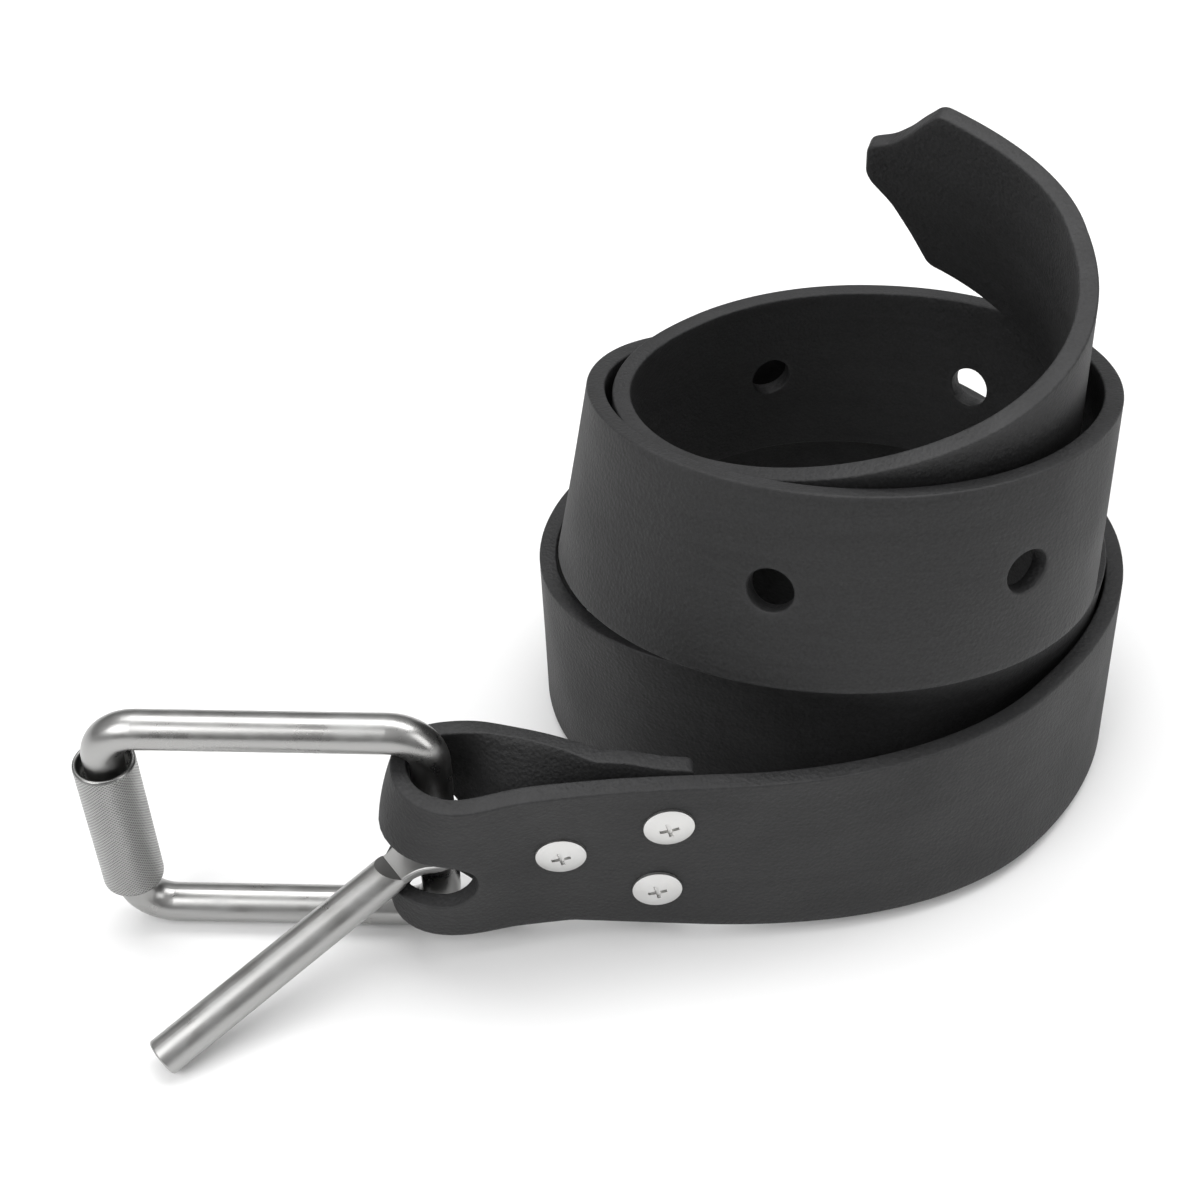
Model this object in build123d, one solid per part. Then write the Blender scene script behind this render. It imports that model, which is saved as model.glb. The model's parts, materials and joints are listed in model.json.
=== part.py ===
from build123d import *
import os
from math import atan2, cos, radians, sin, sqrt, tan

# Diver's rubber weight belt, coiled up and standing on its lower edge, with a stainless pin buckle.
# Modelled with the coil's axis on Z, then moved so that the origin is under the middle of its box.
# All lengths in millimetres, all angles in degrees.

# ---- Strap ----
STRAP_WIDTH = 50.0
STRAP_THICKNESS = 4.5
LAYER_GAP = 0.3            # between the two layers of the fold where the screws hold them
HOLE_RADIUS = 5.4          # prong holes
HOLE_SPACING = 57.5        # along the strap
FIRST_HOLE_ANGLE = 706.0   # place of the first prong hole along the coil
HOLE_COUNT = 6

# The coil: the angle runs anticlockwise seen from above, from 0 at the front.
# One value for each sixth of a turn: distance from the axis, height of the lower edge, inward lean.
COIL_START = -20.0
COIL_STEP = 60.0
TAIL_START = 1226.0
TAIL_TURN = 27.0           # the tail's share of the turn
COIL_RADIUS = [93.5, 81.5, 80.5, 71.5, 69.0, 68.0, 64.0, 67.0, 73.0, 63.5, 58.5, 65.5,
               70.5, 74.5, 62.5, 52.5, 48.5, 51.5, 49.8, 58.3, 58.2, 52.5, 53.0]
COIL_HEIGHT = [5.8, 3.4, 0.6, 0.6, 0.6, 1.3, 8.8, 10.6, 6.8, 20.0, 36.0, 55.0,
               67.0, 70.0, 55.0, 48.0, 47.0, 52.0, 61.0, 83.0, 99.0, 112.5, 117.0]
COIL_LEAN = [0.0, 7.0, 2.0, 4.0, 7.0, -2.0, 4.0, 0.0, 0.0, 3.0, 6.0, 9.5,
             13.0, 8.0, -2.0, 1.0, 1.5, 1.0, 0.0, -2.0, 9.0, 17.0, 1.0]

# The straight front run, from the coil's start to the fold.
RUN_YAW = 1.4              # heading of the run, from the fold towards the coil
RUN_LENGTH = 41.0
RUN_END_HEIGHT = 10.2
RUN_END_LEAN = -3.7
CUT_END = 34.0             # place along the run of the cut end of the folded-back layer

# The fold round the buckle's rear bar: middle of the strap's thickness along its lower and its
# upper edge, from the folded-back layer round the left to the front run.
FOLD_LOW = [(-79.5, -82.2), (-86.0, -77.5), (-94.0, -73.2), (-101.5, -75.5), (-105.0, -82.5),
            (-102.6, -89.6), (-96.5, -93.4), (-87.5, -93.6), (-79.5, -91.2)]
FOLD_HIGH = [(-79.0, -84.6), (-84.0, -79.0), (-91.0, -74.9), (-99.0, -76.7), (-103.2, -83.8),
             (-100.9, -92.2), (-94.5, -97.5), (-86.5, -98.7), (-79.3, -95.3)]

SLOT_HEIGHT = 21.0         # prong slot cut through the fold
SLOT_MIDDLE = 33.9
SLOT_END = -84.6           # round end of the slot, on both layers

# Tapered tail, narrowed in a hollow curve on both sides of its blunt nose.
# Each side's outline is given as (along the strap from TAIL_START, height on the strap).
LOWER_TAPER = [(0.0, 0.0), (7.1, 8.7), (13.9, 16.2), (20.6, 21.3), (22.4, 24.0)]
UPPER_TAPER = [(23.6, 32.0), (18.1, 35.4), (14.7, 39.9), (12.7, 43.8), (9.0, STRAP_WIDTH)]

# ---- Buckle ----
ROD_RADIUS = 4.7           # round rod of the frame and of the prong
BAR_X = -94.6              # rear bar, inside the fold
BAR_Y = -83.5
FRAME_LENGTH = 74.8        # between the axes of the rear bar and the front bar
FRAME_HEIGHT = 61.5        # between the axes of the lower bar and the upper bar
FRAME_BEND = 9.0           # bend radius of the rod's axis
FRAME_YAW = 1.3            # the front bar stands a little behind the rear one
ROLLER_RADIUS = 7.25
ROLLER_LENGTH = 40.8
ROLLER_FIT = 0.06          # radial running clearance on the front bar
ROLLER_WALL = 1.1          # wall of the thin ends
ROLLER_RECESS = 7.0        # depth of the wide bore at each end

# ---- Prong ----
PRONG_LENGTH = 80.1        # from the middle of the eye to the tip
PRONG_HEIGHT = 31.3        # height of the middle of the eye
PRONG_AZIMUTH = 35.2       # forward swing from the -X direction as it lies
PRONG_DROOP = 19.5         # tip down as it lies, with its tip on the table
EYE_RADIUS = 9.2
EYE_HOLE = 6.0             # loose on the rear bar, so that the prong can droop
EYE_PLATE = 2.6
SHOULDER_START = 12.8      # where the flat plate starts to thicken into the rod
SHOULDER_LENGTH = 3.2
TIP_CHAMFER = 0.6

# ---- Two-part screws ----
# Name: (place along the run from the fold, height on the strap)
SCREWS = {
    "front": (4.8, 26.0),
    "upper": (28.6, 37.0),
    "lower": (28.9, 14.0),
}
HEAD_RADIUS = 5.9
HEAD_RIM = 0.7
HEAD_DOME = 0.8
SEAT_GAP = 0.08            # the strap is slightly twisted under the flat heads
SHANK_RADIUS = 2.0
BARREL_RADIUS = 3.0
BARREL_FIT = 0.03
FLANGE_RADIUS = 4.5
FLANGE_THICKNESS = 1.2
RECESS_LENGTH = 4.6        # cross recess in the screw heads
RECESS_WIDTH = 1.0
RECESS_DEPTH = 0.9
STACK = 2 * STRAP_THICKNESS + LAYER_GAP


def smooth_value(values, place):
    """Value at a place along a list (1.0 = one step), on a smooth curve through all values."""
    index = min(max(int(place), 0), len(values) - 2)
    part = place - index

    def slope(i):
        if i == 0:
            return values[1] - values[0]
        if i == len(values) - 1:
            return values[-1] - values[-2]
        return (values[i + 1] - values[i - 1]) / 2

    first, last = slope(index), slope(index + 1)
    if index == 0 and values is COIL_RADIUS:
        first = values[0] * tan(radians(COIL_START - RUN_YAW)) * radians(COIL_STEP)
    if index == 0 and values is COIL_HEIGHT:
        first = (values[0] - RUN_END_HEIGHT) / RUN_LENGTH * COIL_RADIUS[0] * radians(COIL_STEP)
    rise = values[index + 1] - values[index]
    return (values[index] + part * first + part**2 * (3 * rise - 2 * first - last)
            + part**3 * (first + last - 2 * rise))


def lower_edge(angle):
    """Point in the middle of the strap's thickness on its lower edge, on the coil."""
    place = (angle - COIL_START) / COIL_STEP
    radius = smooth_value(COIL_RADIUS, place)
    turn = radians(angle)
    return Vector(radius * sin(turn), -radius * cos(turn), smooth_value(COIL_HEIGHT, place))


def section(point, along, lean):
    """Lower point, upper point and outward direction of the strap's section."""
    heading = atan2(along.Y, along.X)
    tilt = radians(lean)
    upward = Vector(-sin(heading) * sin(tilt), cos(heading) * sin(tilt), cos(tilt))
    upward = (upward - along * upward.dot(along)).normalized()
    return point, point + upward * STRAP_WIDTH, along.cross(upward)


def coil_section(angle):
    """Section of the strap on the coil."""
    along = (lower_edge(angle + 0.05) - lower_edge(angle - 0.05)).normalized()
    if angle <= COIL_START:
        along = run_direction()
    lean = smooth_value(COIL_LEAN, (angle - COIL_START) / COIL_STEP)
    return section(lower_edge(angle), along, lean)


def run_direction():
    """Direction of the straight run, from the fold towards the coil."""
    rise = (COIL_HEIGHT[0] - RUN_END_HEIGHT) / RUN_LENGTH
    return Vector(cos(radians(RUN_YAW)), sin(radians(RUN_YAW)), rise).normalized()


def run_section(place, layer=0):
    """Section at a place along the run from the fold. Layer 1 is the folded-back one behind."""
    lean = RUN_END_LEAN + place / RUN_LENGTH * (COIL_LEAN[0] - RUN_END_LEAN)
    point = lower_edge(COIL_START) - run_direction() * (RUN_LENGTH - place)
    low, high, outward = section(point, run_direction(), lean)
    inward = outward * -(STRAP_THICKNESS + LAYER_GAP) * layer
    return low + inward, high + inward, outward


def strap_span(sections, start, end):
    """The four long faces of a stretch of strap through its sections."""
    half = STRAP_THICKNESS / 2
    lows = [low for low, high, outward in sections]
    spacing = [0.0]
    for first, second in zip(lows, lows[1:]):
        spacing.append(spacing[-1] + (second - first).length)
    corners = []
    for side in (half, -half):
        corners.append([low + outward * side for low, high, outward in sections])
        corners.append([high + outward * side for low, high, outward in sections])
    edges = []
    for points in corners:
        if len(points) == 2:
            edges.append(Edge.make_line(points[0], points[1]))
        else:
            edges.append(Edge.make_spline(points, (start, end), parameters=spacing, scale=False))
    low_out, high_out, low_in, high_in = edges
    pairs = ((low_out, high_out), (high_out, high_in), (high_in, low_in), (low_in, low_out))
    return [Face.make_surface_from_curves(first, second) for first, second in pairs]


def end_face(one):
    """Flat end of the strap at a section."""
    low, high, outward = one
    side = outward * (STRAP_THICKNESS / 2)
    return Face(Wire.make_polygon([low + side, high + side, high - side, low - side]))


def fold_sections():
    """Sections round the fold, from the folded-back layer to the front run."""
    back = run_section(0, layer=1)
    front = run_section(0)
    lows = [back[0]]
    highs = [back[1]]
    for (low_x, low_y), (high_x, high_y) in zip(FOLD_LOW, FOLD_HIGH):
        lows.append(Vector(low_x, low_y, front[0].Z))
        highs.append(Vector(high_x, high_y, front[1].Z))
    lows.append(front[0])
    highs.append(front[1])
    sections = [(back[0], back[1], -back[2])]
    for i in range(1, len(lows) - 1):
        along = (lows[i + 1] - lows[i - 1] + highs[i + 1] - highs[i - 1]).normalized()
        upward = (highs[i] - lows[i]).normalized()
        sections.append((lows[i], highs[i], along.cross(upward).normalized()))
    sections.append(front)
    return sections


def on_strap(section_at, place, height):
    """Plane on the strap's outer face: X along the strap, Z pointing out."""
    def outer(where, level):
        low, high, outward = section_at(where)
        return low + (high - low) * (level / STRAP_WIDTH) + outward * (STRAP_THICKNESS / 2)

    along = outer(place + 0.5, height) - outer(place - 0.5, height)
    upward = outer(place, height + 1) - outer(place, height)
    return Plane(origin=outer(place, height), x_dir=along, z_dir=along.cross(upward))


def hole_angles():
    """Angles on the coil of the prong holes, evenly spaced along the strap."""
    angles = [FIRST_HOLE_ANGLE]
    step = 0.5
    travelled = 0.0
    angle = FIRST_HOLE_ANGLE
    while len(angles) < HOLE_COUNT:
        low, high, outward = coil_section(angle)
        next_low, next_high, next_outward = coil_section(angle + step)
        travelled += ((next_low + next_high - low - high) * 0.5).length
        angle += step
        if travelled >= HOLE_SPACING:
            travelled -= HOLE_SPACING
            angles.append(angle)
    return angles


def make_strap():
    backward = run_direction() * -1
    forward = run_direction()
    cut = run_section(CUT_END, layer=1)
    cut = (cut[0], cut[1], -cut[2])
    fold = fold_sections()
    tail_tip = TAIL_START + TAIL_TURN
    angles = [COIL_START + COIL_STEP / 2 * i for i in range(42)] + [tail_tip]
    coil = [coil_section(angle) for angle in angles]
    tail_direction = (lower_edge(tail_tip) - lower_edge(tail_tip - 0.1)).normalized()
    faces = [end_face(cut), end_face(coil[-1])]
    faces += strap_span([cut, fold[0]], backward, backward)
    faces += strap_span(fold, backward, forward)
    faces += strap_span([fold[-1], coil[0]], forward, forward)
    faces += strap_span(coil, forward, tail_direction)
    strap = Solid(Shell(faces))
    for angle in hole_angles():
        plane = on_strap(coil_section, angle, STRAP_WIDTH / 2)
        strap -= plane * Cylinder(HOLE_RADIUS, 6 * STRAP_THICKNESS)
    strap -= slot_cutter()
    for place, height in SCREWS.values():
        plane = on_strap(run_section, place, height)
        strap -= plane * Cylinder(BARREL_RADIUS + BARREL_FIT, 6 * STRAP_THICKNESS)
    for cutter in tail_cutter():
        strap -= cutter
    return strap


def slot_cutter():
    """Slot through the whole left side of the fold, with a round end on both layers."""
    reach = 4 * SLOT_HEIGHT
    middle = SLOT_END - (reach + SLOT_HEIGHT) / 2
    plane = Plane(origin=(middle, BAR_Y, SLOT_MIDDLE), x_dir=(1, 0, 0), z_dir=(0, -1, 0))
    return extrude(plane * SlotCenterToCenter(reach, SLOT_HEIGHT), amount=2 * SLOT_HEIGHT, both=True)


def tail_cutter():
    """Everything above and below the tapered tail."""
    plane = on_strap(coil_section, TAIL_START, 0)
    beyond = 1.5 * UPPER_TAPER[0][0]
    margin = STRAP_THICKNESS
    above = UPPER_TAPER + [(UPPER_TAPER[-1][0], STRAP_WIDTH + margin), (beyond, STRAP_WIDTH + margin),
                           (beyond, UPPER_TAPER[0][1])]
    below = LOWER_TAPER + [(beyond, LOWER_TAPER[-1][1]), (beyond, -margin), (0, -margin)]
    cutters = []
    for outline in (above, below):
        face = make_face(Polyline(*outline, close=True))
        cutters.append(extrude(plane * face, amount=4 * STRAP_THICKNESS, both=True))
    return cutters


def frame_plane():
    """Plane of the buckle frame: origin on the lower end of the rear bar's axis, X to the front bar."""
    turn = radians(FRAME_YAW)
    return Plane(origin=(BAR_X, BAR_Y, ROD_RADIUS), x_dir=(-cos(turn), sin(turn), 0),
                 z_dir=(sin(turn), cos(turn), 0))


def make_frame():
    outline = RectangleRounded(FRAME_LENGTH, FRAME_HEIGHT, FRAME_BEND)
    path = (frame_plane() * Pos(FRAME_LENGTH / 2, FRAME_HEIGHT / 2) * outline).wire()
    start = Plane(origin=path @ 0, z_dir=path % 0)
    return sweep(start * Circle(ROD_RADIUS), path=path)


def make_roller():
    bore = ROD_RADIUS + ROLLER_FIT
    recess = Cylinder(ROLLER_RADIUS - ROLLER_WALL, 2 * ROLLER_RECESS)
    roller = Cylinder(ROLLER_RADIUS, ROLLER_LENGTH)
    roller = fillet(roller.edges(), ROLLER_WALL / 3)
    roller -= Cylinder(bore, 2 * ROLLER_LENGTH)
    roller -= Pos(0, 0, ROLLER_LENGTH / 2) * recess
    roller -= Pos(0, 0, -ROLLER_LENGTH / 2) * recess
    middle = frame_plane().from_local_coords(Vector(FRAME_LENGTH, FRAME_HEIGHT / 2, 0))
    return Pos(*middle) * roller


def prong_plane():
    """Plane of the prong as it lies: origin in the middle of its eye, X along it, Z out of its plate."""
    swing, droop = radians(PRONG_AZIMUTH), radians(PRONG_DROOP)
    along = Vector(-cos(swing) * cos(droop), -sin(swing) * cos(droop), -sin(droop))
    across = Vector(sin(swing), -cos(swing), 0)
    return Plane(origin=(BAR_X, BAR_Y, PRONG_HEIGHT), x_dir=along, z_dir=along.cross(across) * -1)


def make_prong():
    full = SHOULDER_START + SHOULDER_LENGTH
    neck = sqrt(ROD_RADIUS**2 - (EYE_PLATE / 2) ** 2)
    rod_length = PRONG_LENGTH - SHOULDER_START
    rod = Pos(SHOULDER_START, 0, 0) * Rot(0, 90, 0) * Cylinder(
        ROD_RADIUS, rod_length, align=(Align.CENTER, Align.CENTER, Align.MIN))
    rod = fillet(rod.edges().group_by(Axis.X)[-1], TIP_CHAMFER)
    half = EYE_PLATE / 2
    side = Polyline((SHOULDER_START, -half), (full, -ROD_RADIUS), (PRONG_LENGTH + 1, -ROD_RADIUS),
                    (PRONG_LENGTH + 1, ROD_RADIUS), (full, ROD_RADIUS), (SHOULDER_START, half), close=True)
    rod &= extrude(Plane.XZ * make_face(side), amount=2 * ROD_RADIUS, both=True)
    opening = 50
    eye = CenterArc((0, 0), EYE_RADIUS, opening, 360 - 2 * opening)
    turn = radians(opening)
    upper = Spline((EYE_RADIUS * cos(turn), EYE_RADIUS * sin(turn)), (SHOULDER_START, neck),
                   tangents=((sin(turn), -cos(turn)), (1, 0)))
    lower = mirror(upper, about=Plane.XZ)
    end = Polyline((SHOULDER_START, neck), (full - 1, neck), (full - 1, -neck), (SHOULDER_START, -neck))
    outline = make_face([eye, upper, lower] + end.edges())
    plate = extrude(outline, amount=half, both=True)
    rims = plate.edges().group_by(Axis.Z)
    plate = fillet(rims[0] + rims[-1], half / 3)
    prong = plate + rod
    prong -= Cylinder(EYE_HOLE, 4 * EYE_PLATE)
    return prong_plane() * prong


def screw_head():
    """Low domed head on the XY plane, with a cross recess."""
    side = make_face([
        Line((0, 0), (HEAD_RADIUS, 0)),
        Line((HEAD_RADIUS, 0), (HEAD_RADIUS, HEAD_RIM)),
        ThreePointArc((HEAD_RADIUS, HEAD_RIM), (HEAD_RADIUS * 0.72, HEAD_RIM + HEAD_DOME * 0.55),
                      (0, HEAD_RIM + HEAD_DOME)),
        Line((0, HEAD_RIM + HEAD_DOME), (0, 0)),
    ])
    head = revolve(Plane.XZ * side, Axis.Z)
    for turn in (0, 90):
        slot = Box(RECESS_LENGTH, RECESS_WIDTH, 2 * RECESS_DEPTH)
        head -= Pos(0, 0, HEAD_RIM + HEAD_DOME) * Rot(0, 0, turn + 20) * slot
    return head


def make_screw(place, height):
    """Screw half: a head on the front layer and a shank that goes into the barrel."""
    shank = Cylinder(SHANK_RADIUS, STACK - 2, align=(Align.CENTER, Align.CENTER, Align.MAX))
    return on_strap(run_section, place, height) * Pos(0, 0, SEAT_GAP) * (screw_head() + shank)


def make_post(place, height):
    """Barrel half: a flange behind the folded-back layer and a barrel through both layers."""
    flange = Cylinder(FLANGE_RADIUS, FLANGE_THICKNESS, align=(Align.CENTER, Align.CENTER, Align.MAX))
    barrel = Cylinder(BARREL_RADIUS, STACK - 0.5, align=(Align.CENTER, Align.CENTER, Align.MIN))
    bore = Cylinder(SHANK_RADIUS + BARREL_FIT, STACK, align=(Align.CENTER, Align.CENTER, Align.MIN))
    post = fillet(flange.edges().group_by(Axis.Z)[0], FLANGE_THICKNESS / 3) + barrel - Pos(0, 0, 1) * bore
    return on_strap(run_section, place, height) * Pos(0, 0, -STACK - SEAT_GAP) * post


pieces = {
    "strap": make_strap(),
    "buckle_frame": make_frame(),
    "buckle_roller": make_roller(),
    "buckle_prong": make_prong(),
}
for name, (place, height) in SCREWS.items():
    pieces["screw_" + name] = make_screw(place, height)
    pieces["post_" + name] = make_post(place, height)

# The origin goes under the middle of the whole belt's box.
box = Compound([piece.solid() for piece in pieces.values()]).bounding_box()
shift = Pos(-(box.min.X + box.max.X) / 2, -(box.min.Y + box.max.Y) / 2, -box.min.Z)
os.makedirs("parts", exist_ok=True)
for name, piece in pieces.items():
    export_step(shift * piece.solid(), "parts/" + name + ".step")
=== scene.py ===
import json
from math import cos, pi, radians, sin, tan

import bmesh
import bpy
import numpy as np
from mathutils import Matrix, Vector
from mathutils.geometry import delaunay_2d_cdt


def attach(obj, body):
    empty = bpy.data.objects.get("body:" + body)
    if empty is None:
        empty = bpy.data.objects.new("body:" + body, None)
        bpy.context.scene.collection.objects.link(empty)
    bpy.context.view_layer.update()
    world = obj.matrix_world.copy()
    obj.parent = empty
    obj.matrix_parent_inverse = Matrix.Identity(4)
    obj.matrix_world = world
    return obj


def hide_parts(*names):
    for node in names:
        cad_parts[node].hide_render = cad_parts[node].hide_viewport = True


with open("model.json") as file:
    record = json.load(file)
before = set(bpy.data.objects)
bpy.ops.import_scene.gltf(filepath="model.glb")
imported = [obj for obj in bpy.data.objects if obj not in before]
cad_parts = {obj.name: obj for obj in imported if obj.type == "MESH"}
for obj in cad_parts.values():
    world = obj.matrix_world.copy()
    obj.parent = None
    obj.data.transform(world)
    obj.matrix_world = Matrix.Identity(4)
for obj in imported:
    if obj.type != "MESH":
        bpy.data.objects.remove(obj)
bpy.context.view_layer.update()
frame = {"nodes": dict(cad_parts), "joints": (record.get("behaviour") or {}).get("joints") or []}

# Diver's rubber weight belt, coiled up and standing on its lower edge, with a stainless pin buckle.
# The strap is cut out flat with its holes, slot and tapered tail, and then laid along the coil.
# Lengths are in millimetres until they become mesh, and angles are in degrees.

joints = {joint["name"]: joint for joint in frame["joints"]}
MM = 0.001

# ---- Strap ----
STRAP_WIDTH = 50.0
STRAP_THICKNESS = 4.5
LAYER_GAP = 0.3
EDGE_ROUND = 0.55          # rounding of the strap's edges and of the rims of its holes
HOLE_RADIUS = 5.4
HOLE_SPACING = 57.5
FIRST_HOLE_ANGLE = 706.0
HOLE_COUNT = 6
GRID = 2.0                 # size of the mesh on the strap's faces
PAINTED_RIM_LIGHT_REACH = 4.0         # how far in from its edges the painted highlight on the rims reaches

# The path's stations.
ANGLE_STEP = 1.5           # along the coil
PLACE_STEP = 1.5           # along the front run and the folded-back layer
FINE_STEP = 0.5            # of the smooth table read between them
SLOPE_REACH = 1.5          # on each side, to find which way the strap runs

# The coil: the angle runs anticlockwise seen from above, from 0 at the front.
# One value for each sixth of a turn: distance from the axis, height of the lower edge, inward lean.
COIL_START = -20.0
COIL_STEP = 60.0
TAIL_START = 1226.0
COIL_RADIUS = [93.5, 81.5, 80.5, 71.5, 69.0, 68.0, 64.0, 67.0, 73.0, 63.5, 58.5, 65.5,
               70.5, 74.5, 62.5, 52.5, 48.5, 51.5, 49.8, 58.3, 58.2, 52.5, 53.0]
COIL_HEIGHT = [5.8, 3.4, 0.6, 0.6, 0.6, 1.3, 8.8, 10.6, 6.8, 20.0, 36.0, 55.0,
               67.0, 70.0, 55.0, 48.0, 47.0, 52.0, 61.0, 83.0, 99.0, 112.5, 117.0]
COIL_LEAN = [0.0, 7.0, 2.0, 4.0, 7.0, -2.0, 4.0, 0.0, 0.0, 3.0, 6.0, 9.5,
             13.0, 8.0, -2.0, 1.0, 1.5, 1.0, 0.0, -2.0, 9.0, 17.0, 1.0]

# The straight front run, from the fold to the coil's start, and the cut end behind it.
RUN_YAW = 1.4
RUN_LENGTH = 41.0
RUN_END_HEIGHT = 9.5
RUN_END_LEAN = -3.7
CUT_END = 34.0

# The fold round the buckle's rear bar, from the folded-back layer round the left to the front run.
# FOLD_TOP and FOLD_BOTTOM are where the soft edges open out to, above and below the screws' hold.
FOLD_LOW = [(-79.5, -82.2), (-86.0, -77.5), (-94.0, -73.2), (-101.5, -75.5), (-105.0, -82.5),
            (-102.6, -89.6), (-96.5, -93.4), (-87.5, -93.6), (-79.5, -91.2)]
FOLD_HIGH = [(-79.0, -84.6), (-84.0, -79.0), (-91.0, -74.9), (-99.0, -76.7), (-103.2, -83.8),
             (-100.9, -92.2), (-94.5, -97.5), (-86.5, -98.7), (-79.3, -95.3)]
FOLD_TOP = [(-78.0, -75.3), (-84.0, -74.3), (-90.6, -74.6), (-97.3, -76.5), (-101.3, -82.5),
            (-100.4, -90.7), (-95.5, -96.6), (-87.0, -98.9), (-77.5, -96.5)]
FOLD_BOTTOM = FOLD_LOW[:-1] + [(-79.5, -91.9)]
FOLD_THIN = 0.8            # the stretched rubber at the upper edge round the bar
FOLD_BULGE = 2.2           # at half height on the left of the fold
# How far the edges of the front run and of the folded-back layer stand away from the other layer.
RUN_TOP = [(0.0, 2.6), (8.0, 1.7), (17.0, 0.9), (27.0, 0.4), (RUN_LENGTH, 0.0)]
RUN_BOTTOM = [(0.0, 1.9), (5.0, 0.9), (10.0, 0.0)]
BACK_TOP = [(0.0, 8.9), (6.0, 6.4), (11.5, 3.4), (18.6, 2.9), (27.0, 0.9), (CUT_END, 0.4)]

SLOT_HEIGHT = 17.0
SLOT_LEVEL = 20.9          # middle of the slot, up from the strap's lower edge
SLOT_END = -84.6
SLOT_BACK_END = -88.3      # where it ends on the folded-back layer
SCREW_HOLE = 3.03
SCREWS = [(4.8, 26.0), (28.6, 37.0), (28.9, 14.0)]

# Tapered tail, narrowed in a hollow curve on both sides of its blunt nose.
# Each side's outline is given as (along the strap from TAIL_START, height on the strap).
TAIL_TURN = 27.0
LOWER_TAPER = [(0.0, 0.0), (7.1, 8.7), (13.9, 16.2), (20.6, 21.3), (22.4, 24.0)]
UPPER_TAPER = [(23.6, 32.0), (18.1, 35.4), (14.7, 39.9), (12.7, 43.8), (9.0, STRAP_WIDTH)]

# ---- Buckle ----
BAR_X = -94.6
BAR_Y = -83.5
ROLLER_RADIUS = 7.25
ROLLER_LENGTH = 40.8
ROLLER_WALL = 1.1
ROLLER_RECESS = 7.0
ROLLER_BORE = 4.76
ROLLER_STEPS = 96
KNURL_ROWS = 50


# ---------------------------------------------------------------- the strap's path

def smooth_value(values, place):
    """Value at a place along a list (1.0 = one step), on a smooth curve through all values."""
    index = min(max(int(place), 0), len(values) - 2)
    part = place - index

    def slope(i):
        if i == 0:
            return values[1] - values[0]
        if i == len(values) - 1:
            return values[-1] - values[-2]
        return (values[i + 1] - values[i - 1]) / 2

    first, last = slope(index), slope(index + 1)
    if index == 0 and values is COIL_RADIUS:
        first = values[0] * tan(radians(COIL_START - RUN_YAW)) * radians(COIL_STEP)
    if index == 0 and values is COIL_HEIGHT:
        first = (values[0] - RUN_END_HEIGHT) / RUN_LENGTH * COIL_RADIUS[0] * radians(COIL_STEP)
    rise = values[index + 1] - values[index]
    return (values[index] + part * first + part**2 * (3 * rise - 2 * first - last)
            + part**3 * (first + last - 2 * rise))


def lower_edge(angle):
    """Point in the middle of the strap's thickness on its lower edge, on the coil."""
    place = (angle - COIL_START) / COIL_STEP
    radius = smooth_value(COIL_RADIUS, place)
    turn = radians(angle)
    return Vector((radius * sin(turn), -radius * cos(turn), smooth_value(COIL_HEIGHT, place)))


def section(point, along, lean):
    """Lower point and upper point of the strap's section."""
    level = Vector((along.x, along.y, 0)).normalized()
    tilt = radians(lean)
    upward = Vector((-level.y * sin(tilt), level.x * sin(tilt), cos(tilt)))
    upward = (upward - along * upward.dot(along)).normalized()
    return point, point + upward * STRAP_WIDTH


def coil_section(angle):
    along = (lower_edge(angle + 0.05) - lower_edge(angle - 0.05)).normalized()
    if angle <= COIL_START:
        along = run_direction()
    return section(lower_edge(angle), along, smooth_value(COIL_LEAN, (angle - COIL_START) / COIL_STEP))


def run_direction():
    rise = (COIL_HEIGHT[0] - RUN_END_HEIGHT) / RUN_LENGTH
    return Vector((cos(radians(RUN_YAW)), sin(radians(RUN_YAW)), rise)).normalized()


def run_section(place, layer=0):
    """Section at a place along the run from the fold. Layer 1 is the folded-back one behind."""
    lean = RUN_END_LEAN + place / RUN_LENGTH * (COIL_LEAN[0] - RUN_END_LEAN)
    point = lower_edge(COIL_START) - run_direction() * (RUN_LENGTH - place)
    low, high = section(point, run_direction(), lean)
    inward = run_direction().cross(high - low).normalized() * -(STRAP_THICKNESS + LAYER_GAP) * layer
    return low + inward, high + inward


def smooth_line(places, rows, query):
    """Smooth curve through rows of numbers, straight on at both ends, read at the query places."""
    places, rows = np.array(places), np.array(rows)
    gaps = np.diff(places)
    count = len(places)
    system, right = np.zeros((count, count)), np.zeros_like(rows)
    for end, first in ((0, 0), (count - 1, count - 2)):
        system[end, end] = 1
        right[end] = (rows[first + 1] - rows[first]) / gaps[first]
    for i in range(1, count - 1):
        before, after = gaps[i - 1], gaps[i]
        system[i, i - 1:i + 2] = 1 / before, 2 / before + 2 / after, 1 / after
        right[i] = 3 * ((rows[i] - rows[i - 1]) / before**2 + (rows[i + 1] - rows[i]) / after**2)
    slopes = np.linalg.solve(system, right)
    index = np.clip(np.searchsorted(places, query) - 1, 0, count - 2)
    gap = gaps[index][:, None]
    part = ((query - places[index])[:, None]) / gap
    return ((2 * part**3 - 3 * part**2 + 1) * rows[index]
            + (part**3 - 2 * part**2 + part) * gap * slopes[index]
            + (3 * part**2 - 2 * part**3) * rows[index + 1]
            + (part**3 - part**2) * gap * slopes[index + 1])


def station(low, high, top=(0, 0), bottom=(0, 0), bulge=0.0, thin=1.0):
    """Everything the strap's shape depends on at one place, as one row of numbers."""
    return [*low, *high, *top, *bottom, bulge, thin]


def table_value(table, place):
    places, values = zip(*table)
    return float(np.interp(place, places, values))


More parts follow.
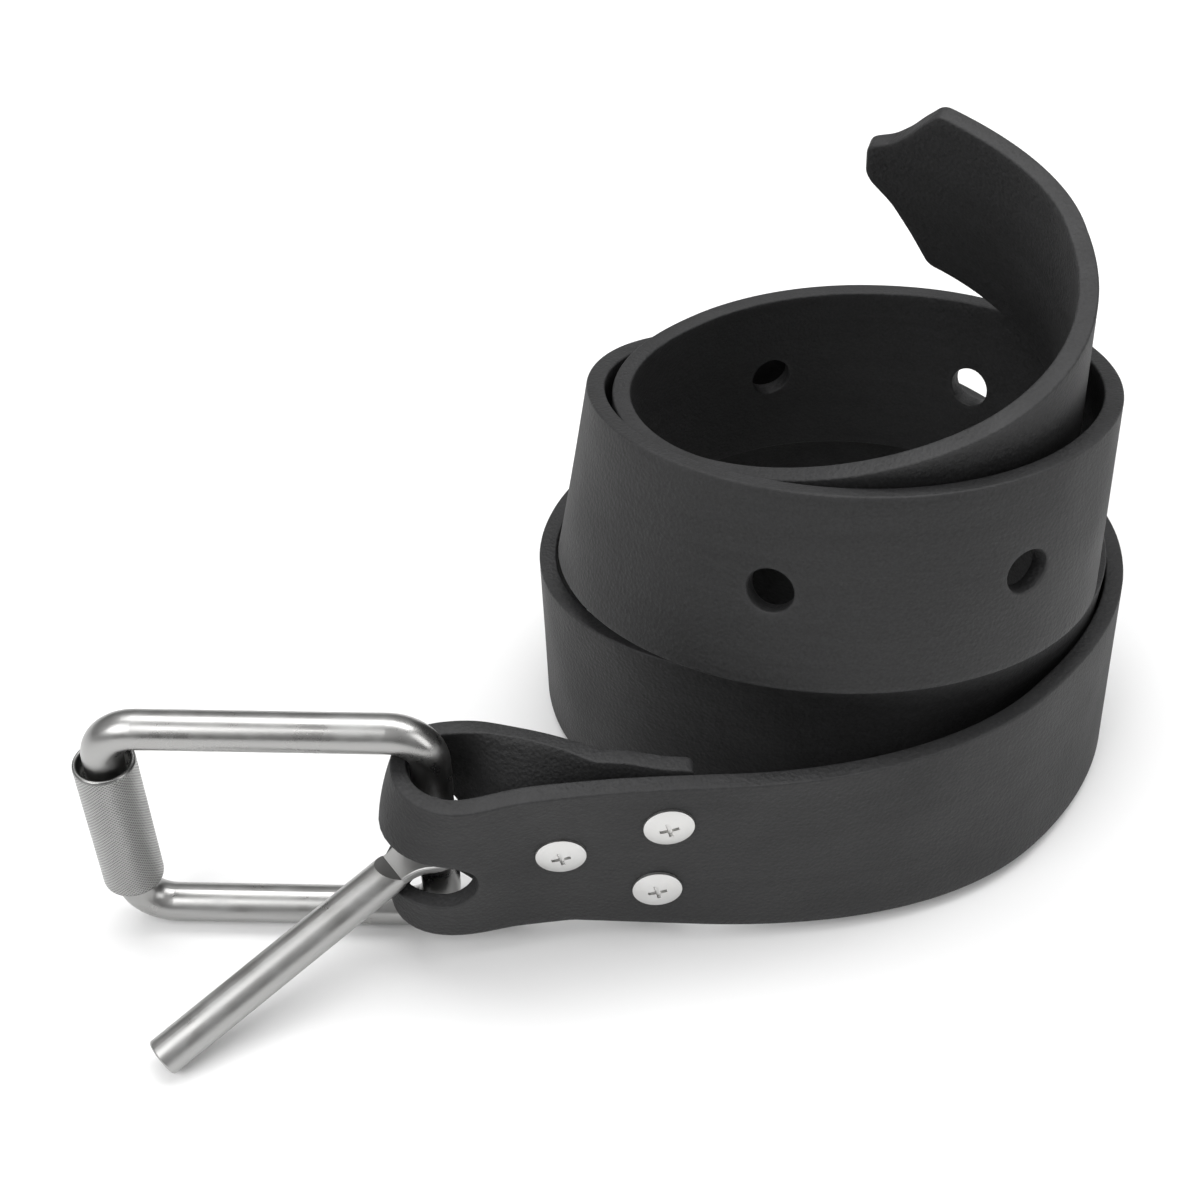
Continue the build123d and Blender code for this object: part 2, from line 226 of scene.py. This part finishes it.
def strap_stations():
    """Rows of the whole strap from its cut end to its tail, and the run's and the coil's first rows."""
    rows = []
    for place in np.arange(CUT_END, 0.1, -PLACE_STEP):
        low, high = run_section(place, layer=1)
        rows.append(station(low, high, (0, table_value(BACK_TOP, place))))
    fold_start = len(rows)
    level_low, level_high = run_section(0)[0].z, run_section(0)[1].z
    for i, (low, high, top, bottom) in enumerate(zip(FOLD_LOW, FOLD_HIGH, FOLD_TOP, FOLD_BOTTOM)):
        round_bar = max(0.0, 1 - abs(i - 4) / 3)
        rows.append(station((*low, level_low), (*high, level_high), (top[0] - high[0], top[1] - high[1]),
                            (bottom[0] - low[0], bottom[1] - low[1]), FOLD_BULGE * round_bar,
                            1 - (1 - FOLD_THIN) * round_bar))
    run_start = len(rows)
    for place in np.arange(0, RUN_LENGTH, PLACE_STEP):
        low, high = run_section(place)
        top, bottom = -table_value(RUN_TOP, place), -table_value(RUN_BOTTOM, place)
        rows.append(station(low, high, (0, top), (0, bottom)))
    coil_start = len(rows)
    for angle in np.arange(COIL_START, TAIL_START + TAIL_TURN + 2 * ANGLE_STEP, ANGLE_STEP):
        low, high = coil_section(angle)
        rows.append(station(low, high))
    return np.array(rows), fold_start, run_start, coil_start


stations, fold_start, run_start, coil_start = strap_stations()
middles = (stations[:, 0:3] + stations[:, 3:6]) / 2
travel = np.concatenate([[0], np.cumsum(np.linalg.norm(np.diff(middles, axis=0), axis=1))])
fine_travel = np.arange(0, travel[-1], FINE_STEP)
fine = smooth_line(travel, stations, fine_travel)
shift = np.array(joints["buckle_swing"]["pos_m"][:2]) / MM - (BAR_X, BAR_Y)


def coil_travel(angle):
    """Distance along the strap of an angle on the coil."""
    row = (angle - COIL_START) / ANGLE_STEP
    return float(np.interp(row, range(len(travel) - coil_start), travel[coil_start:]))


def centre(along, height):
    """Points in the middle of the strap's thickness."""
    row = np.stack([np.interp(along, fine_travel, column) for column in fine.T], axis=1)
    share = (height / STRAP_WIDTH)[:, None]
    points = row[:, 0:3] * (1 - share) + row[:, 3:6] * share
    points[:, 0:2] += row[:, 6:8] * np.clip(2 * share - 1, 0, 1) ** 1.6
    points[:, 0:2] += row[:, 8:10] * np.clip(1 - 2 * share, 0, 1) ** 1.6
    return points, row


def laid(along, height, depth):
    """Points of the flat strap laid along its path, in metres in the row's frame."""
    points, row = centre(along, height)
    forward = centre(along + SLOPE_REACH, height)[0] - centre(along - SLOPE_REACH, height)[0]
    upward = centre(along, height + 1)[0] - centre(along, height - 1)[0]
    outward = np.cross(forward, upward)
    outward /= np.linalg.norm(outward, axis=1)[:, None]
    share = height / STRAP_WIDTH
    points = points + outward * (depth * row[:, 11] + row[:, 10] * 4 * share * (1 - share))[:, None]
    points[:, 0:2] += shift
    return points * MM


# ---------------------------------------------------------------- the flat strap

def rounded(corners, radius):
    """Outline with a small curve at each corner."""
    corners = [np.array(c, float) for c in corners]
    outline = []
    for before, corner, after in zip(corners[-1:] + corners[:-1], corners, corners[1:] + corners[:1]):
        back, ahead = before - corner, after - corner
        reach = min(radius, np.linalg.norm(back) / 2.5, np.linalg.norm(ahead) / 2.5)
        start = corner + back / np.linalg.norm(back) * reach
        end = corner + ahead / np.linalg.norm(ahead) * reach
        for part in np.linspace(0, 1, 5):
            outline.append(start * (1 - part) ** 2 + corner * 2 * part * (1 - part) + end * part**2)
    return outline


def divided(outline, size):
    """Closed outline with its long sides divided."""
    points = []
    for first, second in zip(outline, outline[1:] + outline[:1]):
        steps = max(1, round(np.linalg.norm(second - first) / size))
        points += [first + (second - first) * i / steps for i in range(steps)]
    return np.array(points)


def capsule(start, end, level, radius, steps=48):
    """Outline of a round-ended slot, or of a round hole, with the material on its left."""
    turns = [-2 * pi * i / steps for i in range(steps)]
    points = []
    for turn in turns:
        middle = start if pi / 2 < (turn % (2 * pi)) <= 3 * pi / 2 else end
        points.append(np.array((middle + radius * cos(turn), level + radius * sin(turn))))
    return points


def inset(outline, distance):
    """Outline moved towards its material, which is on its left."""
    before = outline - np.roll(outline, 1, axis=0)
    after = np.roll(outline, -1, axis=0) - outline
    before /= np.linalg.norm(before, axis=1)[:, None]
    after /= np.linalg.norm(after, axis=1)[:, None]
    turn = np.stack([-(before + after)[:, 1], (before + after)[:, 0]], axis=1)
    turn /= np.linalg.norm(turn, axis=1)[:, None]
    half = np.sqrt(np.clip((1 + (before * after).sum(1)) / 2, 0.3, 1))
    return outline + turn * (distance / half)[:, None]


def strap_outlines():
    """Outer outline of the flat strap, then its holes and its slot."""
    tail = coil_travel(TAIL_START)
    corners = [(0, STRAP_WIDTH), (0, 0)]
    corners += [(tail + along, height) for along, height in LOWER_TAPER + UPPER_TAPER]
    outlines = [divided(rounded(corners, 2.0), GRID)]
    travelled = coil_travel(FIRST_HOLE_ANGLE)
    for i in range(HOLE_COUNT):
        hole = travelled + i * HOLE_SPACING
        outlines.append(np.array(capsule(hole, hole, STRAP_WIDTH / 2, HOLE_RADIUS)))
    first = fine_travel[np.flatnonzero(fine[:, 0] < SLOT_BACK_END)[0]]
    last = fine_travel[np.flatnonzero((fine[:, 0] < SLOT_END) & (fine_travel < travel[run_start]))[-1]]
    radius = SLOT_HEIGHT / 2
    outlines.append(divided(capsule(first + radius, last - radius, SLOT_LEVEL, radius), GRID))
    for place, height in SCREWS:
        for along in (CUT_END - place, travel[run_start] + place):
            outlines.append(np.array(capsule(along, along, height, SCREW_HOLE, 20)))
    return outlines


def inside(points, outline):
    """Which points lie inside a closed outline."""
    hit = np.zeros(len(points), bool)
    x, y = points.T
    for (x1, y1), (x2, y2) in zip(outline, np.roll(outline, -1, axis=0)):
        crosses = (y1 > y) != (y2 > y)
        with np.errstate(divide="ignore", invalid="ignore"):
            hit ^= crosses & (x < (x2 - x1) * (y - y1) / (y2 - y1) + x1)
    return hit


def face_triangles(borders):
    """Points and triangles that fill the strap's face between its borders."""
    far = borders[0][:, 0].max()
    grid = np.array([(x, y) for x in np.arange(GRID, far, GRID)
                     for y in np.arange(GRID / 2, STRAP_WIDTH, GRID)])
    keep = inside(grid, inset(borders[0], GRID * 0.5))
    for border in borders[1:]:
        keep &= ~inside(grid, inset(border, GRID * 0.5))
    points = [Vector(p) for border in borders for p in border]
    edges, base = [], 0
    for border in borders:
        edges += [(base + i, base + (i + 1) % len(border)) for i in range(len(border))]
        base += len(border)
    points += [Vector(p) for p in grid[keep]]
    made, _, triangles, _, _, _ = delaunay_2d_cdt(points, edges, [], 1, 1e-6)
    made = np.array([tuple(p) for p in made])
    middle = np.array([made[list(t)].mean(0) for t in triangles])
    hole = np.zeros(len(triangles), bool)
    for border in borders[1:]:
        hole |= inside(middle, border)
    return made, [t for t, h in zip(triangles, hole) if not h]


def make_strap():
    """The strap as a closed mesh with rounded edges, laid along its path."""
    half = STRAP_THICKNESS / 2
    profile = [(EDGE_ROUND * (1 - sin(radians(a))), half - EDGE_ROUND * (1 - cos(radians(a))))
               for a in (0, 22.5, 45, 67.5, 90)]
    profile += [(0.0, 0.0)] + [(reach, -depth) for reach, depth in reversed(profile)]
    outlines = strap_outlines()
    borders = [inset(outline, EDGE_ROUND) for outline in outlines]
    face, triangles = face_triangles(borders)
    flat = [np.column_stack([face, np.full(len(face), depth)]) for depth in (half, -half)]
    faces = [tuple(t) for t in triangles] + [tuple(i + len(face) for i in reversed(t)) for t in triangles]
    count = 2 * len(face)
    for outline in outlines:
        size = len(outline)
        for reach, depth in profile:
            flat.append(np.column_stack([inset(outline, reach), np.full(size, depth)]))
        for ring in range(len(profile) - 1):
            upper, lower = count + ring * size, count + (ring + 1) * size
            faces += [(upper + i, lower + i, lower + (i + 1) % size, upper + (i + 1) % size)
                      for i in range(size)]
        count += size * len(profile)
    flat = np.concatenate(flat)
    mesh = bpy.data.meshes.new("rubber_strap")
    mesh.from_pydata([tuple(p) for p in laid(*flat.T)], [], faces)
    places = mesh.attributes.new("place", "FLOAT_VECTOR", "POINT")
    places.data.foreach_set("vector", (flat * MM).astype(np.float32).ravel())
    edge = mesh.attributes.new("edge", "FLOAT", "POINT")
    edge.data.foreach_set("value", edge_share(flat, outlines).astype(np.float32))
    work = bmesh.new()
    work.from_mesh(mesh)
    bmesh.ops.remove_doubles(work, verts=work.verts, dist=1e-6)
    bmesh.ops.recalc_face_normals(work, faces=work.faces)
    for one in work.faces:
        one.smooth = True
    work.to_mesh(mesh)
    work.free()
    piece = bpy.data.objects.new("rubber_strap", mesh)
    bpy.context.scene.collection.objects.link(piece)
    return piece


def edge_share(flat, outlines):
    """1 at the strap's edges and hole rims, fading to 0 a little way in; this masks the painted highlight
    on the rims.
    """
    rims = np.concatenate(outlines)
    order = np.argsort(rims[:, 0])
    rims = rims[order]
    share = np.zeros(len(flat))
    starts = np.searchsorted(rims[:, 0], flat[:, 0] - PAINTED_RIM_LIGHT_REACH)
    ends = np.searchsorted(rims[:, 0], flat[:, 0] + PAINTED_RIM_LIGHT_REACH)
    for i, (start, end) in enumerate(zip(starts, ends)):
        if end > start:
            nearest = np.hypot(*(rims[start:end] - flat[i, :2]).T).min()
            share[i] = max(0.0, 1 - nearest / PAINTED_RIM_LIGHT_REACH)
    return share


# ---------------------------------------------------------------- materials

class Nodes:
    """Short words for building a material's node tree."""

    def __init__(self, name):
        self.material = bpy.data.materials.new(name)
        self.material.use_nodes = True
        self.tree = self.material.node_tree
        self.shader = self.tree.nodes["Principled BSDF"]

    def node(self, kind, links=(), **settings):
        one = self.tree.nodes.new(kind)
        for key, value in settings.items():
            if key in one.inputs:
                one.inputs[key].default_value = value
            else:
                setattr(one, key, value)
        for socket, source in dict(links).items():
            self.tree.links.new(source, one.inputs[socket])
        return one

    def noise(self, vector, scale, detail=4.0, roughness=0.55):
        one = self.node("ShaderNodeTexNoise", {"Vector": vector}, Scale=scale, Detail=detail)
        one.inputs["Roughness"].default_value = roughness
        return one.outputs["Fac"]

    def stretched(self, vector, scale):
        return self.node("ShaderNodeMapping", {"Vector": vector}, Scale=scale).outputs["Vector"]

    def ramp(self, value, low, high, start=0.3, end=0.7):
        """A number from low to high as value goes from start to end."""
        one = self.node("ShaderNodeMapRange", {"Value": value})
        for socket, number in (("From Min", start), ("From Max", end), ("To Min", low), ("To Max", high)):
            one.inputs[socket].default_value = number
        return one.outputs["Result"]

    def math(self, operation, first, second):
        one = self.node("ShaderNodeMath", operation=operation)
        for socket, value in zip(one.inputs, (first, second)):
            if isinstance(value, (int, float)):
                socket.default_value = value
            else:
                self.tree.links.new(value, socket)
        return one.outputs[0]

    def colours(self, share, first, second):
        one = self.node("ShaderNodeMix", {0: share}, data_type="RGBA")
        one.inputs[6].default_value = (*first, 1)
        one.inputs[7].default_value = (*second, 1)
        return one.outputs[2]

    def bump(self, height, distance, strength=1.0, normal=None):
        links = {"Height": height}
        if normal is not None:
            links["Normal"] = normal
        return self.node("ShaderNodeBump", links, Distance=distance, Strength=strength).outputs["Normal"]

    def shade(self, **sockets):
        for key, value in sockets.items():
            socket = self.shader.inputs[key.replace("_", " ")]
            if isinstance(value, bpy.types.NodeSocket):
                self.tree.links.new(value, socket)
            else:
                socket.default_value = value
        return self.material


def rubber():
    """Moulded rubber: fine pebbled grain, faint bloom and a painted highlight on the edges and hole rims.
    """
    n = Nodes("strap_rubber")
    solid = n.node("ShaderNodeTexCoord").outputs["Object"]
    place = n.node("ShaderNodeAttribute", attribute_name="place").outputs["Vector"]
    edge = n.node("ShaderNodeAttribute", attribute_name="edge").outputs["Fac"]
    grain = n.noise(solid, 1500, 4)
    pebbles = n.node("ShaderNodeTexVoronoi", {"Vector": solid}, Scale=900.0).outputs["Distance"]
    patches = n.noise(solid, 28, 5)
    streaks = n.noise(n.stretched(place, (14, 260, 260)), 1.0, 4)
    # Painted highlight: the edges and hole rims are coloured lighter, in patches, in place of the light
    # that catches them.
    painted_rim_light = n.math("MULTIPLY", n.ramp(edge, 0.0, 1.0, 0.55, 1.0), n.ramp(n.noise(solid, 90, 5), 0.2, 1.0))
    bloom = n.math("MULTIPLY", patches, streaks)
    tone = n.math("ADD", n.ramp(bloom, 0.0, 0.35, 0.12, 0.42), n.math("MULTIPLY", painted_rim_light, 0.5))
    tone = n.math("ADD", tone, n.ramp(grain, -0.2, 0.45))
    colour = n.colours(tone, (0.004, 0.004, 0.0042), (0.021, 0.021, 0.022))
    rough = n.math("ADD", n.ramp(patches, 0.5, 0.66), n.math("MULTIPLY", grain, 0.12))
    height = n.math("ADD", n.math("MULTIPLY", grain, 0.6), n.math("MULTIPLY", pebbles, 0.5))
    waves = n.bump(n.noise(solid, 45, 2), 0.0006, 0.35)
    normal = n.bump(height, 0.0003, 0.8, waves)
    return n.shade(Base_Color=colour, Roughness=rough, Normal=normal)


def steel(name, rough=0.27, tone=0.36, scratch=0.2):
    """Polished stainless steel: faint polishing lines, handling smudges and small tone changes."""
    n = Nodes(name)
    solid = n.node("ShaderNodeTexCoord").outputs["Object"]
    smudges = n.noise(solid, 95, 5, 0.6)
    fine_lines = n.noise(n.stretched(solid, (260, 260, 3800)), 1.0, 3)
    specks = n.noise(solid, 1900, 2)
    colour = n.colours(n.ramp(smudges, 0, 1), (tone, tone * 0.99, tone * 0.97),
                       (tone * 1.1, tone * 1.1, tone * 1.09))
    roughness = n.math("ADD", n.ramp(smudges, rough * 0.75, rough * 1.45),
                       n.math("MULTIPLY", fine_lines, rough * 0.25))
    height = n.math("ADD", n.math("MULTIPLY", fine_lines, 0.7), n.math("MULTIPLY", specks, 0.3))
    return n.shade(Base_Color=colour, Metallic=1.0, Roughness=roughness,
                   Normal=n.bump(height, 0.00003, scratch))


def knurled_steel():
    """Stainless tube with a fine diamond knurl outside and smooth within; the knurl's grooves and the
    inside of the tube carry painted shade.
    """
    n = Nodes("knurled_steel")
    turns = n.node("ShaderNodeAttribute", attribute_name="wrap")
    split = n.node("ShaderNodeSeparateXYZ", {"Vector": turns.outputs["Vector"]})
    around, along, outside = split.outputs
    rows = 2 * pi * KNURL_ROWS
    ridges = []
    for side in (1, -1):
        phase = n.math("MULTIPLY", n.math("ADD", around, n.math("MULTIPLY", along, side)), rows)
        ridges.append(n.node("ShaderNodeMath", {0: phase}, operation="SINE").outputs[0])
    knurl = n.math("MULTIPLY", n.math("MAXIMUM", *ridges), outside)
    solid = n.node("ShaderNodeTexCoord").outputs["Object"]
    smudges = n.noise(solid, 120, 5)
    # Painted shade: the knurl's grooves, and the tube's inside and end recesses, are coloured darker than
    # the ridges.
    painted_groove_shade = n.ramp(knurl, 0.0, 1.0, -0.2, 0.9)
    colour = n.colours(painted_groove_shade, (0.2, 0.2, 0.197), (0.46, 0.46, 0.452))
    roughness = n.math("ADD", n.ramp(smudges, 0.2, 0.34), n.math("MULTIPLY", outside, 0.06))
    grain = n.bump(n.noise(solid, 2200, 2), 0.00003, 0.3)
    return n.shade(Base_Color=colour, Metallic=1.0, Roughness=roughness,
                   Normal=n.bump(knurl, 0.00016, 0.8, grain))


# ---------------------------------------------------------------- the roller

def make_roller(middle):
    """Thin-walled roller with rounded rims and a wide recess at each end, turned from its profile."""
    half, lip = ROLLER_LENGTH / 2, ROLLER_WALL / 2
    upper = [(ROLLER_RADIUS, half - lip * 1.6), (ROLLER_RADIUS - 0.06, half - lip * 0.8),
             (ROLLER_RADIUS - lip * 0.35, half - lip * 0.3), (ROLLER_RADIUS - lip, half),
             (ROLLER_RADIUS - lip * 1.65, half - lip * 0.3), (ROLLER_RADIUS - ROLLER_WALL, half - lip),
             (ROLLER_RADIUS - ROLLER_WALL, half - ROLLER_RECESS),
             (ROLLER_BORE + 0.2, half - ROLLER_RECESS), (ROLLER_BORE, half - ROLLER_RECESS - 0.2)]
    outer = [(ROLLER_RADIUS, z) for z in np.linspace(-half + 1.6 * lip, half - 1.6 * lip, 12)[1:-1]]
    profile = outer + upper + [(r, -z) for r, z in reversed(upper)]
    points, wraps, faces = [], [], []
    for i in range(ROLLER_STEPS):
        turn = 2 * pi * i / ROLLER_STEPS
        for radius, z in profile:
            points.append(middle + Vector((radius * cos(turn), radius * sin(turn), z)) * MM)
            outside = 1.0 if radius == ROLLER_RADIUS else 0.0
            wraps.append((i / ROLLER_STEPS, z / (2 * pi * ROLLER_RADIUS), outside))
    size = len(profile)
    for i in range(ROLLER_STEPS):
        here, beyond = i * size, (i + 1) % ROLLER_STEPS * size
        for j in range(size):
            faces.append((here + j, beyond + j, beyond + (j + 1) % size, here + (j + 1) % size))
    mesh = bpy.data.meshes.new("knurled_roller")
    mesh.from_pydata(points, [], faces)
    mesh.polygons.foreach_set("use_smooth", [True] * len(faces))
    corner = mesh.attributes.new("wrap", "FLOAT_VECTOR", "CORNER")
    values = []
    for polygon in mesh.polygons:
        last = polygon.index // size == ROLLER_STEPS - 1
        for vertex in polygon.vertices:
            around, along, outside = wraps[vertex]
            values += [1.0 if last and around == 0 else around, along, outside]
    corner.data.foreach_set("vector", values)
    piece = bpy.data.objects.new("knurled_roller", mesh)
    bpy.context.scene.collection.objects.link(piece)
    return piece


# ---------------------------------------------------------------- the pieces

strap = make_strap()
strap.data.materials.append(rubber())
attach(strap, "strap")
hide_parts("strap")

roller = make_roller(Vector(joints["roller_spin"]["pos_m"]))
roller.data.materials.append(knurled_steel())
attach(roller, "roller")
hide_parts("buckle_roller")

finishes = {"buckle_frame": steel("frame_steel"), "buckle_prong": steel("prong_steel", 0.29, 0.36)}
screw_steel = steel("screw_steel", 0.3, 0.6, 0.3)
for name in frame["nodes"]:
    if name.startswith(("screw", "post")):
        finishes[name] = screw_steel
for name, material in finishes.items():
    node = frame["nodes"][name]
    node.data.materials.clear()
    node.data.materials.append(material)

# ---------------------------------------------------------------- floor, light and camera

bpy.ops.mesh.primitive_plane_add(size=6)
floor = bpy.context.object
floor.name = "floor"
pale = Nodes("pale_floor")
floor.data.materials.append(pale.shade(Base_Color=(0.86, 0.86, 0.86, 1), Roughness=0.7))

world = bpy.data.worlds.new("studio")
bpy.context.scene.world = world
world.use_nodes = True
sky = world.node_tree
direction = sky.nodes.new("ShaderNodeTexCoord").outputs["Generated"]
upward = sky.nodes.new("ShaderNodeSeparateXYZ")
shade = sky.nodes.new("ShaderNodeValToRGB")
for stop, position, grey in zip(shade.color_ramp.elements, (0.1, 0.8), (0.16, 0.62)):
    stop.position = position
    stop.color = (grey, grey, grey, 1)
sky.links.new(direction, upward.inputs[0])
sky.links.new(upward.outputs["Z"], shade.inputs["Fac"])
sky.links.new(shade.outputs["Color"], sky.nodes["Background"].inputs["Color"])


def softbox(name, place, target, size, power):
    light = bpy.data.lights.new(name, "AREA")
    light.shape = "RECTANGLE"
    light.size, light.size_y = size
    light.energy = power
    lamp = bpy.data.objects.new(name, light)
    lamp.location = place
    lamp.rotation_euler = (Vector(target) - Vector(place)).to_track_quat("-Z", "Y").to_euler()
    bpy.context.scene.collection.objects.link(lamp)


softbox("key", (-0.9, -0.8, 1.1), (0, 0, 0.05), (1.0, 1.0), 13)
softbox("fill", (1.3, -0.7, 0.8), (0, 0, 0.05), (0.7, 1.2), 6)
softbox("top", (0.1, 0.4, 1.6), (0, 0, 0), (2.2, 0.9), 24)

camera = bpy.data.cameras.new("camera")
camera.lens, camera.sensor_width = 54.0, 36.0
viewer = bpy.data.objects.new("camera", camera)
elevation, distance = radians(42.4), 0.5335
target = Vector((-0.0093, 0.0627, 0))
viewer.location = target + Vector((0, -cos(elevation), sin(elevation))) * distance
viewer.rotation_euler = (radians(90) - elevation, 0, 0)
bpy.context.scene.collection.objects.link(viewer)
bpy.context.scene.camera = viewer
bpy.context.scene.view_settings.view_transform = "Standard"
